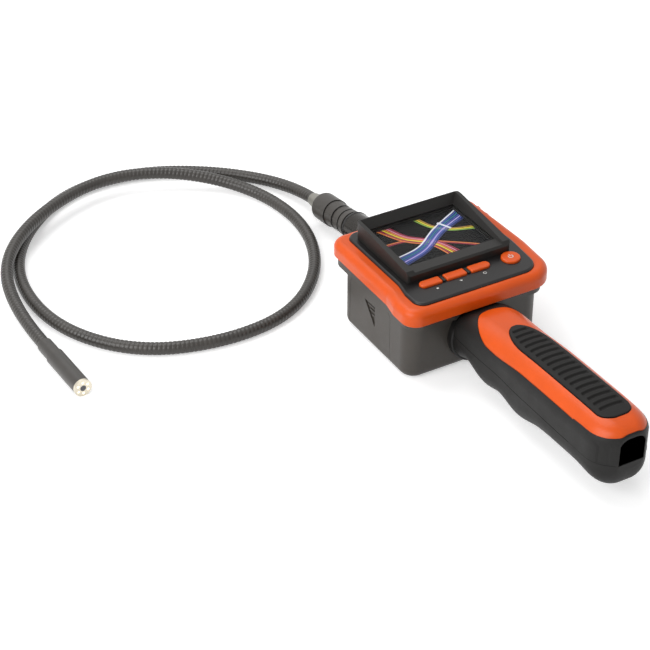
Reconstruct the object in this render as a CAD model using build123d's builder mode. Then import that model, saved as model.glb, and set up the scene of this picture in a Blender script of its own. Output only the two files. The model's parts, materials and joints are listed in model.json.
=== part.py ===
"""Handheld inspection camera: a head with a screen, a handle and a gooseneck with a camera at its end.

Millimetres. X runs across the head, +Y towards the gooseneck, +Z up out of the screen.
The origin is the centre of the head's flat base.
"""
import os
from math import cos, pi, radians, sin, tan

from build123d import *

os.makedirs("parts", exist_ok=True)

# ---- head ----
head_width = 78.4
head_depth = 65.5
shell_height = 36.5
head_corner = 8.0
base_round = 4.2
wall = 2.2
fit_gap = 0.2

# ---- orange frame round the head ----
frame_width = 83.0
frame_front_width = 86.4
frame_front = -39.8
frame_rear = 42.6
frame_height = 8.8
frame_edge_round = 4.0
frame_foot_chamfer = 0.6
frame_corner = 8.0
waist_front = -24.0
waist_rear = -15.0
waist_round = 7.0
panel_waist_shift = 1.0
swell_rear = 1.5
swell_mid = 3.5
swell_y = -8.0
swell_round = 40.0
swell_corner = 14.0
flange_height = 5.0
flange_width = 80.0
flange_front = -36.2
flange_rear = 41.1
flange_gap = 2.0

# ---- black panel inside the frame ----
panel_margin = 7.4
panel_front_margin = 4.3
panel_corner = 6.0
panel_proud = 1.3
panel_thickness = 2.0
panel_edge_round = 1.2
ledge = 1.6
ledge_drop = 3.5

# ---- screen and its hood ----
screen_width = 49.0
screen_height = 36.7
screen_y = 10.0
window_thickness = 1.0
window_lap = 1.0
window_frame = 0.3
hood_width = 61.0
hood_front = -16.8
hood_rear = 33.2
hood_deck = 5.0
hood_rim = 4.8
hood_front_rim = 1.1
hood_wall = 1.8
hood_slope = 30.0
hood_round = 2.0
deck_thickness = 1.8
lcd_border = 2.5
lcd_thickness = 2.8
gasket_thickness = 0.6

# ---- keys ----
key_count = 3
key_length = 12.0
key_width = 5.2
key_bar = 2.4
key_row_x = -5.9
key_row_y = -21.3
key_proud = 1.2
key_flange = 0.8
key_flange_height = 0.6
key_inner_round = 0.8
key_edge_round = 0.7
power_radius = 5.0
power_x = 26.9
power_y = -22.1

# ---- electronics ----
board_thickness = 1.6
board_width = 62.0
board_corner = 4.0
board_front = -31.0
board_rear = 36.0
board_top = 41.0
switch_size = 4.2
switch_height = 1.0
dome_radius = 3.7
dome_wall = 0.5
mat_thickness = 0.6
board_screw_x = 12.0
board_screw_inset = 2.8
screw_radius = 1.0
screw_head_radius = 1.9
screw_head_height = 1.2

# ---- case screws ----
case_screw_front = (32.0, -28.5)
case_screw_rear = (30.4, 24.2)
case_boss_radius = 3.4
panel_boss_radius = 2.4
case_screw_radius = 1.3
case_head_radius = 2.6
case_head_height = 2.2
case_head_level = 22.0
case_screw_bite = 5.5

# ---- battery compartment: four AA cells, two by two, end-in from the left ----
cell_radius = 7.1
cell_length = 49.2
cell_nub_radius = 2.7
cell_nub_length = 1.2
cell_gap = 0.6
cell_edge_round = 0.5
cell_y = 4.5
tray_wall = 1.2
door_length = 39.0
door_height = 31.0
door_thickness = 2.0
door_corner = 4.0
tongue = 1.2
tongue_thickness = 0.9
grip_size = 10.0
grip_drop = 12.0
grip_inset = 5.0
grip_depth = 0.9
contact_thickness = 0.5
leaf_height = 3.0
leaf_step = 1.0

# ---- socket and plug, on one axis that droops from the rear wall ----
socket_height = 23.0
socket_droop = 8.5
neck_radius = 11.0
neck_length = 26.0
socket_radius = 6.9
socket_length = 38.0
socket_flange_radius = 9.0
socket_flange = 2.0
locknut_radius = 9.6
locknut_height = 3.0
socket_bore_radius = 4.7
socket_bore_depth = 7.0
pin_count = 4
pin_radius = 0.6
pin_circle = 2.6
pin_length = 5.0
running_gap = 0.06
nut_radius = 8.3
nut_start = 29.6
nut_end = 54.0
nut_lip = 3.0
nut_edge_round = 0.6
plug_nose_radius = 4.6
seal_radius = 7.4
seal_thickness = 1.4
plug_radius = 7.2
plug_length = 19.5
plug_flare = 0.6
boot_radius = 8.0
boot_length = 15.0
boot_round = 3.2
ferrule_radius = 5.2
ferrule_length = 10.0
ferrule_lip = 0.3

# ---- gooseneck, lying on the table ----
cord_radius = 3.4
cord_bore_radius = 2.6
cord_rest = 3.45
cord_end = 4.75
cord_lead = 26.0
bend_share = 0.45
cord_points = [
    (-30, 194, cord_rest),
    (-72.5, 217, cord_rest),
    (-117.5, 214.5, cord_rest),
    (-155.5, 183.5, cord_rest),
    (-175.5, 143, cord_rest),
    (-174, 92.5, cord_rest),
    (-147.5, 53.5, cord_rest),
    (-104, 39, cord_rest),
    (-60.5, 44.5, cord_rest),
    (-27, 77, cord_rest),
    (-12.5, 122, cord_rest),
    (-21.5, 169, cord_rest),
    (-58, 196.5, 10.9),
    (-99, 209, 10.5),
    (-147.5, 186, 11.6),
    (-178.5, 154, 9.6),
    (-187, 114, cord_end),
    (-185.5, 80.5, cord_end),
]

# ---- camera head at the end of the gooseneck ----
camera_radius = 4.7
camera_wall = 0.5
sleeve_radius = 4.1
sleeve_length = 12.0
sleeve_edge_round = 0.4
camera_length = 30.0
bezel_length = 1.5
lens_radius = 1.6
lens_thickness = 0.8
led_count = 6
led_radius = 0.75
led_circle = 3.0
led_depth = 0.8
barrel_radius = 2.1
barrel_length = 7.0
sensor_board_thickness = 1.0

# ---- video output socket and its rubber cover, in the frame's right side ----
jack_y = 30.0
jack_height = 39.6
jack_width = 6.0
jack_depth = 5.0
jack_length = 16.0
jack_overhang = 0.5
jack_nose_radius = 2.0
jack_bore_radius = 1.27
jack_bore_depth = 12.0
cover_length = 16.0
cover_height = 5.0
cover_thickness = 1.6
cover_gap = 0.4
cover_corner = 1.2
rib_spacing = 7.7
rib_width = 2.2
rib_proud = 2.4
rib_inset = 1.4
bead_radius = 0.45
bead_x = 43.5
bead_z = 37.4
bead_length = 12.0

# ---- handle ----
handle_axis = 19.2
collar_radius = 16.4
collar_length = 4.0
collar_round = 1.0
spigot_radius = 13.0
cable_bore_radius = 6.0
collar_nut_radius = 15.2
collar_nut_height = 3.0
handle_shell = 3.2
handle_skin = 1.6
handle_corner = 0.72
handle_seam = 23.5
handle_stations = [
    # distance from the collar, half width, lowest height, highest height
    (0.0, 15.5, 9.7, 34.6),
    (9.0, 16.2, 10.9, 37.8),
    (17.0, 16.3, 8.4, 39.4),
    (26.0, 16.2, 5.7, 40.1),
    (37.0, 15.8, 7.5, 40.9),
    (54.0, 16.3, 5.2, 42.1),
    (66.0, 16.3, 7.8, 42.7),
    (90.0, 16.3, 9.9, 43.4),
    (106.0, 16.1, 9.6, 43.7),
    (114.0, 15.4, 8.7, 43.2),
    (119.5, 12.3, 9.8, 42.0),
    (124.0, 7.5, 20.0, 37.5),
]
trim_start = 6.8
trim_end = 123.2
trim_half_width = 15.2
trim_nose = 22.0
trim_end_round = 11.0
trim_foot = 24.0
pad_start = 28.3
pad_end = 113.8
pad_half_width = 9.0
pad_nose = 21.0
pad_end_round = 7.0
pad_proud = 0.7
handle_screw_stations = (20.0, 60.0, 100.0)
handle_boss_radius = 3.6
handle_screw_length = 18.0
handle_screw_sink = 12.0


def save(piece, name):
    """Label a finished piece and write it to its own file."""
    piece.label = name
    export_step(piece, f"parts/{name}.step")


def waisted_outline(half_width, half_front, front, rear, corner, right_corner, step_front, step_rear):
    """A rounded outline with a waist on its left and a swelling side on its right."""
    fillets = [
        ((half_front, front), right_corner),
        ((half_width + swell_mid, swell_y), swell_round),
        ((half_width + swell_rear, rear), corner),
        ((-half_width, rear), corner),
        ((-half_width, step_rear), waist_round),
        ((-half_front, step_front), waist_round),
        ((-half_front, front), corner),
    ]
    with BuildSketch(mode=Mode.PRIVATE) as outline:
        with BuildLine():
            Polyline(*[place for place, radius in fillets], close=True)
        make_face()
        for place, radius in fillets:
            fillet(outline.vertices().sort_by_distance(place)[0], radius)
    return outline.sketch


def frame_outline():
    return waisted_outline(
        frame_width / 2, frame_front_width / 2, frame_front, frame_rear,
        frame_corner, swell_corner, waist_front, waist_rear,
    )


def panel_outline(inset=0.0):
    return waisted_outline(
        frame_width / 2 - panel_margin - inset, frame_front_width / 2 - panel_margin - inset,
        frame_front + panel_front_margin + inset, frame_rear - panel_front_margin - inset,
        panel_corner, swell_corner - panel_front_margin,
        waist_front + panel_waist_shift, waist_rear + panel_waist_shift,
    )


def both_sides(point):
    return [(point[0], point[1]), (-point[0], point[1])]


case_screws = both_sides(case_screw_front) + both_sides(case_screw_rear)
frame_top = shell_height + frame_height
ledge_top = frame_top - ledge_drop
panel_top = frame_top + panel_proud
panel_under = panel_top - panel_thickness
deck_top = panel_top + hood_deck
deck_under = deck_top - deck_thickness
inner_width = head_width - 2 * wall
inner_depth = head_depth - 2 * wall
lcd_width = screen_width + 2 * lcd_border
lcd_height = screen_height + 2 * lcd_border

# battery layout
cell_pitch = 2 * cell_radius + cell_gap
tray_inner = 2 * cell_pitch + cell_gap
tray_outer = tray_inner + 2 * tray_wall
tray_mid = wall + tray_outer / 2
cell_rows = [(cell_y + i * cell_pitch / 2, tray_mid + k * cell_pitch / 2) for i in (-1, 1) for k in (-1, 1)]
door_outer_x = -head_width / 2
door_inner_x = door_outer_x + door_thickness
tongue_x = door_outer_x + wall + fit_gap
door_back_x = tongue_x + tongue_thickness
cell_left = door_back_x + fit_gap
contact_width = cell_radius
contact_height = cell_pitch + cell_radius
cell_right = cell_left + cell_length
contact_rows = (cell_y - cell_pitch / 2, cell_y + cell_pitch / 2)
leaf_x = cell_right + leaf_height
tray_right = leaf_x + contact_thickness

# socket axis
rear_wall = head_depth / 2
socket_plane = Plane(
    origin=(0, rear_wall, socket_height), x_dir=(1, 0, 0),
    z_dir=(0, cos(radians(socket_droop)), -sin(radians(socket_droop))),
)
front_wall = -head_depth / 2
collar_front = front_wall - collar_length
seal_start = nut_end + fit_gap
plug_start = seal_start + seal_thickness
boot_start = plug_start + plug_length
ferrule_start = boot_start + boot_length
cord_start = ferrule_start + ferrule_length


def socket_level(offset):
    """The plane square to the socket axis at a distance from the rear wall."""
    return socket_plane.offset(offset)


# =====================================================================
# Rear shell: tub with a flange, a neck for the socket and screw columns
# =====================================================================
with BuildPart(mode=Mode.PRIVATE) as tub:
    with BuildSketch():
        RectangleRounded(head_width, head_depth, head_corner)
    extrude(amount=shell_height)
    fillet(tub.edges().group_by(Axis.Z)[0], base_round)

with BuildPart() as rear_shell:
    add(tub.part)
    with BuildSketch(Plane.XY.offset(shell_height - flange_height)):
        with Locations((0, (flange_front + flange_rear) / 2)):
            RectangleRounded(flange_width, flange_rear - flange_front, head_corner)
    extrude(amount=flange_height)
    with BuildSketch(socket_level(-wall)):
        Circle(neck_radius)
    extrude(amount=neck_length + wall)
    with BuildSketch(Plane.XY.offset(wall)):
        RectangleRounded(inner_width, inner_depth, head_corner - wall)
    extrude(amount=shell_height, mode=Mode.SUBTRACT)
    with BuildSketch(Plane.XY.offset(wall)):
        with Locations(*case_screws):
            Circle(case_boss_radius)
    extrude(amount=shell_height - wall)
    with BuildSketch():
        with Locations(*case_screws):
            Circle(case_head_radius + fit_gap)
    extrude(amount=case_head_level, mode=Mode.SUBTRACT)
    with BuildSketch():
        with Locations(*case_screws):
            Circle(case_screw_radius + fit_gap)
    extrude(amount=shell_height, mode=Mode.SUBTRACT)
    with BuildSketch(socket_level(-2 * wall - socket_flange)):
        Circle(socket_radius + fit_gap)
    extrude(amount=neck_length + 2 * wall + 2 * socket_flange, mode=Mode.SUBTRACT)
    with BuildSketch(Plane.XZ.offset(-front_wall)):
        with Locations((0, handle_axis)):
            Circle(spigot_radius + fit_gap)
    extrude(amount=-wall, mode=Mode.SUBTRACT)
    with BuildSketch(Plane.XZ.offset(-front_wall)):
        with Locations((0, handle_axis)):
            Circle(collar_radius + flange_gap)
    extrude(amount=frame_rear - frame_front - head_depth, mode=Mode.SUBTRACT)
    with BuildSketch(Plane.YZ.offset(door_outer_x)):
        with Locations((cell_y, (door_height + fit_gap) / 2 - head_corner)):
            RectangleRounded(
                door_length + 2 * fit_gap, door_height + fit_gap + 2 * head_corner, door_corner + fit_gap
            )
    extrude(amount=wall + fit_gap, mode=Mode.SUBTRACT)
    with BuildSketch(Plane.YZ.offset(door_outer_x + wall)):
        with Locations((cell_y, 0)):
            Rectangle(door_length + 2 * tongue + 2 * fit_gap, 2 * (wall + fit_gap))
    extrude(amount=tongue_thickness + 2 * fit_gap, mode=Mode.SUBTRACT)
save(rear_shell.part, "rear_shell")

# =====================================================================
# Battery door: plate that slides down, with side tongues and a thumb mark
# =====================================================================
grip_y = cell_y - grip_size / 2
grip_z = door_height - grip_inset
with BuildPart() as battery_door:
    with BuildSketch(Plane.YZ.offset(door_outer_x)) as door_face:
        with Locations((cell_y, door_height / 2)):
            Rectangle(door_length, door_height)
        fillet(door_face.vertices().group_by(Axis.Z)[-1], door_corner)
    extrude(amount=door_thickness)
    with BuildSketch(Plane.YZ.offset(door_inner_x)):
        with Locations((cell_y, (door_height - door_corner) / 2)):
            Rectangle(door_length, door_height - door_corner)
    extrude(amount=wall - door_thickness + fit_gap)
    with BuildSketch(Plane.YZ.offset(tongue_x)):
        with Locations((cell_y, (door_height - door_corner) / 2)):
            Rectangle(door_length + 2 * tongue, door_height - door_corner)
    extrude(amount=tongue_thickness)
    with BuildSketch(Plane.YZ.offset(door_back_x - contact_thickness)):
        for row_y in contact_rows:
            with Locations((row_y, tray_mid)):
                Rectangle(contact_width + fit_gap, contact_height + fit_gap)
    extrude(amount=contact_thickness, mode=Mode.SUBTRACT)
    with BuildSketch(Plane.YZ.offset(door_outer_x)):
        with BuildLine():
            Polyline(
                (grip_y, grip_z), (grip_y + grip_size, grip_z),
                (grip_y, grip_z - grip_drop), close=True,
            )
        make_face()
    extrude(amount=grip_depth, mode=Mode.SUBTRACT)
    add(tub.part, mode=Mode.INTERSECT)
save(battery_door.part, "battery_door")

# =====================================================================
# Orange frame: waisted ring with a ledge for the panel and a pocket for the port cover
# =====================================================================
pocket_floor = frame_width / 2 + swell_rear - cover_thickness
with BuildPart() as bezel_frame:
    with BuildSketch(Plane.XY.offset(shell_height)):
        add(frame_outline())
    extrude(amount=frame_height)
    fillet(bezel_frame.faces().sort_by(Axis.Z)[-1].edges(), frame_edge_round)
    chamfer(bezel_frame.faces().sort_by(Axis.Z)[0].edges(), frame_foot_chamfer)
    with BuildSketch(Plane.XY.offset(shell_height)):
        add(panel_outline(ledge))
    extrude(amount=frame_height, mode=Mode.SUBTRACT)
    with BuildSketch(Plane.XY.offset(ledge_top)):
        add(panel_outline(-fit_gap / 2))
    extrude(amount=frame_height, mode=Mode.SUBTRACT)
    with BuildSketch(Plane.XY.offset(shell_height)):
        with Locations(*case_screws):
            Circle(case_boss_radius + fit_gap)
    extrude(amount=ledge_top - shell_height, mode=Mode.SUBTRACT)
    with BuildSketch(Plane.YZ.offset(pocket_floor)):
        with Locations((jack_y, jack_height)):
            Rectangle(cover_length + 2 * cover_gap, cover_height + 2 * cover_gap)
    extrude(amount=2 * cover_thickness, mode=Mode.SUBTRACT)
    with BuildSketch(Plane.YZ.offset(frame_width / 4)):
        with Locations((jack_y, jack_height)):
            Circle(jack_nose_radius + fit_gap)
    extrude(amount=frame_width / 4, mode=Mode.SUBTRACT)
save(bezel_frame.part, "bezel_frame")

# =====================================================================
# Front panel: plate with a skirt, key openings, a screen opening and bosses
# =====================================================================
key_pitch = key_length + key_bar
key_places = [key_row_x + (i - (key_count - 1) / 2) * key_pitch for i in range(key_count)]
key_names = ["key_left", "key_middle", "key_right"]
board_screws = [
    (side * board_screw_x, y)
    for side in (-1, 1)
    for y in (board_front + board_screw_inset, board_rear - board_screw_inset)
]


def key_outline(index, grow=0.0):
    """One key of the row: square where it faces its neighbour, round at the row's ends."""
    with BuildSketch(mode=Mode.PRIVATE) as outline:
        Rectangle(key_length + 2 * grow, key_width + 2 * grow)
        sides = outline.vertices().group_by(Axis.X)
        end = key_width / 2 + grow - running_gap
        fillet(sides[0], end if index == 0 else key_inner_round)
        fillet(outline.vertices().group_by(Axis.X)[-1], end if index == key_count - 1 else key_inner_round)
    return outline.sketch


with BuildPart() as front_panel:
    with BuildSketch(Plane.XY.offset(ledge_top)):
        add(panel_outline())
    extrude(amount=panel_top - ledge_top)
    fillet(front_panel.faces().sort_by(Axis.Z)[-1].edges(), panel_edge_round)
    with BuildSketch(Plane.XY.offset(ledge_top)):
        add(panel_outline(ledge))
    extrude(amount=panel_under - ledge_top, mode=Mode.SUBTRACT)
    with BuildSketch(Plane.XY.offset(shell_height)):
        with Locations(*case_screws):
            Circle(panel_boss_radius)
    extrude(amount=panel_under - shell_height)
    with BuildSketch(Plane.XY.offset(board_top)):
        with Locations(*board_screws):
            Circle(panel_boss_radius)
    extrude(amount=panel_under - board_top)
    with BuildSketch(Plane.XY.offset(shell_height)):
        with Locations(*case_screws):
            Circle(case_screw_radius)
    extrude(amount=case_screw_bite, mode=Mode.SUBTRACT)
    with BuildSketch(Plane.XY.offset(board_top)):
        with Locations(*board_screws):
            Circle(screw_radius)
    extrude(amount=panel_under - board_top - fit_gap, mode=Mode.SUBTRACT)
    with BuildSketch(Plane.XY.offset(panel_under)):
        with Locations((0, screen_y)):
            Rectangle(lcd_width + 2 * fit_gap, lcd_height + 2 * fit_gap)
        with Locations((power_x, power_y)):
            Circle(power_radius + fit_gap)
        for index, x in enumerate(key_places):
            with Locations((x, key_row_y)):
                add(key_outline(index, fit_gap))
    extrude(amount=panel_thickness, mode=Mode.SUBTRACT)
save(front_panel.part, "front_panel")

# =====================================================================
# Sun hood: hollow block round the screen with walls that rise to the rear
# =====================================================================
hood_depth = hood_rear - hood_front
rim_top = deck_top + hood_rim
with BuildPart() as sun_hood:
    with BuildSketch(Plane.YZ.offset(-hood_width / 2)):
        with BuildLine():
            Polyline(
                (hood_front, panel_top), (hood_rear, panel_top), (hood_rear, rim_top),
                (hood_rear - 2 * hood_wall, rim_top), (hood_front + hood_wall, deck_top + hood_front_rim),
                (hood_front, deck_top - hood_front_rim), close=True,
            )
        make_face()
    extrude(amount=hood_width)
    fillet(sun_hood.edges().filter_by(Axis.Z), hood_round)
    with BuildSketch(Plane.XY.offset(deck_top)):
        with Locations((0, screen_y + window_lap / 2 - hood_depth / 2)):
            Rectangle(
                screen_width + 2 * (window_lap + window_frame), screen_height + 2 * window_lap + hood_depth
            )
    extrude(amount=2 * hood_rim, taper=-hood_slope, mode=Mode.SUBTRACT)
    with BuildSketch(Plane.XY.offset(deck_top - window_thickness)):
        with Locations((0, screen_y)):
            Rectangle(screen_width + 2 * window_lap, screen_height + 2 * window_lap)
    extrude(amount=window_thickness, mode=Mode.SUBTRACT)
    with BuildSketch(Plane.XY.offset(deck_under - gasket_thickness)):
        with Locations((0, screen_y)):
            Rectangle(screen_width, screen_height)
    extrude(amount=deck_thickness + gasket_thickness, mode=Mode.SUBTRACT)
    with BuildSketch(Plane.XY.offset(panel_top)):
        with Locations((0, screen_y)):
            Rectangle(lcd_width + 2 * fit_gap, lcd_height + 2 * fit_gap)
    extrude(amount=deck_under - panel_top, mode=Mode.SUBTRACT)
save(sun_hood.part, "sun_hood")

# =====================================================================
# Screen stack: window, foam gasket and display module
# =====================================================================
with BuildPart() as screen_window:
    with BuildSketch(Plane.XY.offset(deck_top - window_thickness)):
        with Locations((0, screen_y)):
            Rectangle(screen_width + 2 * window_lap - fit_gap, screen_height + 2 * window_lap - fit_gap)
    extrude(amount=window_thickness)
save(screen_window.part, "screen_window")

with BuildPart() as screen_gasket:
    with BuildSketch(Plane.XY.offset(deck_under - gasket_thickness)):
        with Locations((0, screen_y)):
            Rectangle(lcd_width - fit_gap, lcd_height - fit_gap)
            Rectangle(screen_width, screen_height, mode=Mode.SUBTRACT)
    extrude(amount=gasket_thickness)
save(screen_gasket.part, "screen_gasket")

lcd_top = deck_under - gasket_thickness
with BuildPart() as lcd_module:
    with BuildSketch(Plane.XY.offset(lcd_top - lcd_thickness)):
        with Locations((0, screen_y)):
            Rectangle(lcd_width, lcd_height)
    extrude(amount=lcd_thickness)
save(lcd_module.part, "lcd_module")

# =====================================================================
# Main board with the jack's notch, its screws, the switches and the rubber mat
# =====================================================================
board_under = board_top - board_thickness
board_mid = (board_front + board_rear) / 2
jack_right = board_width / 2 + jack_overhang
jack_left = jack_right - jack_length
with BuildPart() as main_board:
    with BuildSketch(Plane.XY.offset(board_under)):
        with Locations((0, board_mid)):
            RectangleRounded(board_width, board_rear - board_front, board_corner)
        with Locations((jack_right - jack_length / 2, jack_y)):
            Rectangle(jack_length + 2 * fit_gap, jack_width + 2 * fit_gap, mode=Mode.SUBTRACT)
        with Locations((board_width / 2, (case_screw_rear[1] + jack_y) / 2)):
            Rectangle(
                2 * (panel_boss_radius + board_corner), jack_y - case_screw_rear[1], mode=Mode.SUBTRACT
            )
        with Locations(*board_screws):
            Circle(screw_radius + fit_gap, mode=Mode.SUBTRACT)
        with Locations(*case_screws):
            Circle(panel_boss_radius + fit_gap, mode=Mode.SUBTRACT)
    extrude(amount=board_thickness)
save(main_board.part, "main_board")

with BuildPart() as board_screw_group:
    with BuildSketch(Plane.XY.offset(board_under - screw_head_height)):
        with Locations(*board_screws):
            Circle(screw_head_radius)
    extrude(amount=screw_head_height)
    with BuildSketch(Plane.XY.offset(board_under)):
        with Locations(*board_screws):
            Circle(screw_radius)
    extrude(amount=board_thickness + panel_boss_radius)
save(board_screw_group.part, "board_screws")

switch_places = [(x, key_row_y) for x in key_places] + [(power_x, power_y)]
with BuildPart() as key_switches:
    with BuildSketch(Plane.XY.offset(board_top)):
        with Locations(*switch_places):
            Rectangle(switch_size, switch_size)
    extrude(amount=switch_height)
save(key_switches.part, "key_switches")

mat_left = key_places[0] - key_length / 2
mat_right = power_x + dome_radius
dome_top = board_top + switch_height + dome_wall
with BuildPart() as keypad_mat:
    with BuildSketch(Plane.XY.offset(board_top)):
        with Locations(((mat_left + mat_right) / 2, key_row_y)):
            Rectangle(mat_right - mat_left, 2 * (dome_radius + dome_wall))
    extrude(amount=mat_thickness)
    with BuildSketch(Plane.XY.offset(board_top)):
        with Locations(*switch_places):
            Circle(dome_radius)
    extrude(amount=dome_top - board_top)
    with BuildSketch(Plane.XY.offset(board_top)):
        with Locations(*switch_places):
            Circle(dome_radius - dome_wall)
    extrude(amount=switch_height + fit_gap / 2, mode=Mode.SUBTRACT)
save(keypad_mat.part, "keypad_mat")

# =====================================================================
# Keys and power button: caps with a flange under the panel
# =====================================================================
flange_top = panel_under - fit_gap


def key(index, name):
    """One orange key with its flange, in its opening."""
    with BuildPart() as cap:
        with BuildSketch(Plane.XY.offset(flange_top)):
            with Locations((key_places[index], key_row_y)):
                add(key_outline(index))
        extrude(amount=panel_top + key_proud - flange_top)
        fillet(cap.faces().sort_by(Axis.Z)[-1].edges(), key_edge_round)
        with BuildSketch(Plane.XY.offset(flange_top - key_flange_height)):
            with Locations((key_places[index], key_row_y)):
                Rectangle(key_length + 2 * key_flange, key_width + 2 * key_flange)
        extrude(amount=key_flange_height)
    save(cap.part, name)


for key_index, key_name in enumerate(key_names):
    key(key_index, key_name)

with BuildPart() as power_button:
    with BuildSketch(Plane.XY.offset(flange_top)):
        with Locations((power_x, power_y)):
            Circle(power_radius)
    extrude(amount=panel_top + key_proud - flange_top)
    fillet(power_button.faces().sort_by(Axis.Z)[-1].edges(), key_edge_round)
    with BuildSketch(Plane.XY.offset(flange_top - key_flange_height)):
        with Locations((power_x, power_y)):
            Circle(power_radius + key_flange)
    extrude(amount=key_flange_height)
save(power_button.part, "power_button")

# =====================================================================
# Case screws, up through the shell's columns into the panel's bosses
# =====================================================================
with BuildPart() as shell_screws:
    with BuildSketch(Plane.XY.offset(case_head_level - case_head_height)):
        with Locations(*case_screws):
            Circle(case_head_radius)
    extrude(amount=case_head_height)
    with BuildSketch(Plane.XY.offset(case_head_level)):
        with Locations(*case_screws):
            Circle(case_screw_radius)
    extrude(amount=shell_height + case_screw_bite - fit_gap - case_head_level)
save(shell_screws.part, "shell_screws")

# =====================================================================
# Battery compartment: tray open to the left, four cells and their contacts
# =====================================================================
with BuildPart() as battery_tray:
    with BuildSketch(Plane.YZ.offset(cell_left)):
        with Locations((cell_y, tray_mid)):
            Rectangle(tray_outer, tray_outer)
    extrude(amount=tray_right + tray_wall - cell_left)
    with BuildSketch(Plane.YZ.offset(tongue_x)):
        with Locations((cell_y, tray_mid)):
            Rectangle(tray_inner, tray_inner)
    extrude(amount=tray_right - tongue_x, mode=Mode.SUBTRACT)
save(battery_tray.part, "battery_tray")


def cell(number, y, z, nub_right):
    """One AA cell lying along X, with its nub to one side."""
    can_length = cell_length - cell_nub_length
    can_left = cell_left if nub_right else cell_left + cell_nub_length
    with BuildPart() as battery:
        with BuildSketch(Plane.YZ.offset(can_left)):
            with Locations((y, z)):
                Circle(cell_radius)
        extrude(amount=can_length)
        fillet(battery.edges(), cell_edge_round)
        with BuildSketch(Plane.YZ.offset(cell_left)):
            with Locations((y, z)):
                Circle(cell_nub_radius)
        if nub_right:
            extrude(amount=cell_length)
        else:
            extrude(amount=can_length)
    save(battery.part, f"battery_{number}")


for cell_index, (row_y, row_z) in enumerate(cell_rows):
    cell(cell_index + 1, row_y, row_z, cell_index % 2 == 0)

with BuildPart() as door_contacts:
    with BuildSketch(Plane.YZ.offset(door_back_x - contact_thickness)):
        for row_y in contact_rows:
            with Locations((row_y, tray_mid)):
                Rectangle(contact_width, contact_height)
    extrude(amount=contact_thickness)
save(door_contacts.part, "door_contacts")

with BuildPart() as contact_plates:
    with BuildSketch(Plane.YZ.offset(leaf_x)):
        for row_y in contact_rows:
            with Locations((row_y, tray_mid)):
                Rectangle(contact_width, contact_height)
    extrude(amount=contact_thickness)
save(contact_plates.part, "contact_plates")

leaf_half = cell_radius - 2 * leaf_step
with BuildPart() as contact_leaves:
    for row_y, row_z in cell_rows:
        with BuildSketch(Plane.XY.offset(row_z - cell_nub_radius / 2)):
            with BuildLine():
                ThreePointArc(
                    (leaf_x, row_y - leaf_half), (cell_right + fit_gap, row_y), (leaf_x, row_y + leaf_half)
                )
                Line((leaf_x, row_y + leaf_half), (leaf_x, row_y + leaf_half - leaf_step))
                ThreePointArc(
                    (leaf_x, row_y + leaf_half - leaf_step),
                    (cell_right + fit_gap + contact_thickness, row_y),
                    (leaf_x, row_y - leaf_half + leaf_step),
                )
                Line((leaf_x, row_y - leaf_half + leaf_step), (leaf_x, row_y - leaf_half))
            make_face()
        extrude(amount=cell_nub_radius)
save(contact_leaves.part, "contact_leaves")

# =====================================================================
# Video output jack in the board's notch, and the rubber cover over it
# =====================================================================
with BuildPart() as av_jack:
    with BuildSketch(Plane.YZ.offset(jack_left)):
        with Locations((jack_y, jack_height)):
            Rectangle(jack_width, jack_depth)
    extrude(amount=jack_length)
    with BuildSketch(Plane.YZ.offset(jack_right)):
        with Locations((jack_y, jack_height)):
            Circle(jack_nose_radius)
    extrude(amount=pocket_floor - fit_gap - jack_right)
    with BuildSketch(Plane.YZ.offset(pocket_floor - fit_gap - jack_bore_depth)):
        with Locations((jack_y, jack_height)):
            Circle(jack_bore_radius)
    extrude(amount=jack_bore_depth, mode=Mode.SUBTRACT)
save(av_jack.part, "av_jack")

with BuildPart() as port_cover:
    with BuildSketch(Plane.YZ.offset(pocket_floor + fit_gap)):
        with Locations((jack_y, jack_height)):
            RectangleRounded(cover_length, cover_height, cover_corner)
    extrude(amount=cover_thickness)
    with BuildSketch(Plane.YZ.offset(pocket_floor + cover_thickness)):
        for side in (-1, 1):
            with Locations((jack_y + side * rib_spacing / 2, jack_height)):
                Rectangle(rib_width, cover_height - rib_inset)
    extrude(amount=rib_proud)
    with BuildSketch(Plane.XZ.offset(-jack_y - bead_length / 2)):
        with Locations((bead_x, bead_z)):
            Circle(bead_radius)
    extrude(amount=bead_length)
save(port_cover.part, "port_cover")

# =====================================================================
# Handle collar through the front wall, held by a ring nut inside
# =====================================================================
with BuildPart() as handle_collar:
    with BuildSketch(Plane.XZ.offset(-front_wall)):
        with Locations((0, handle_axis)):
            Circle(collar_radius)
    extrude(amount=collar_length)
    fillet(handle_collar.edges().sort_by(Axis.Y)[0], collar_round)
    with BuildSketch(Plane.XZ.offset(-front_wall - wall - collar_nut_height)):
        with Locations((0, handle_axis)):
            Circle(spigot_radius)
    extrude(amount=wall + collar_nut_height)
    with BuildSketch(Plane.XZ.offset(-front_wall - wall - collar_nut_height)):
        with Locations((0, handle_axis)):
            Circle(cable_bore_radius)
    extrude(amount=head_depth, mode=Mode.SUBTRACT)
save(handle_collar.part, "handle_collar")

with BuildPart() as collar_nut:
    with BuildSketch(Plane.XZ.offset(-front_wall - wall - collar_nut_height)):
        with Locations((0, handle_axis)):
            Circle(collar_nut_radius)
            Circle(spigot_radius, mode=Mode.SUBTRACT)
    extrude(amount=collar_nut_height)
save(collar_nut.part, "collar_nut")

# =====================================================================
# Handle: lofted body split into two shells, with a trim ring and a grip pad on top
# =====================================================================
handle_length = handle_stations[-1][0]


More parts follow.
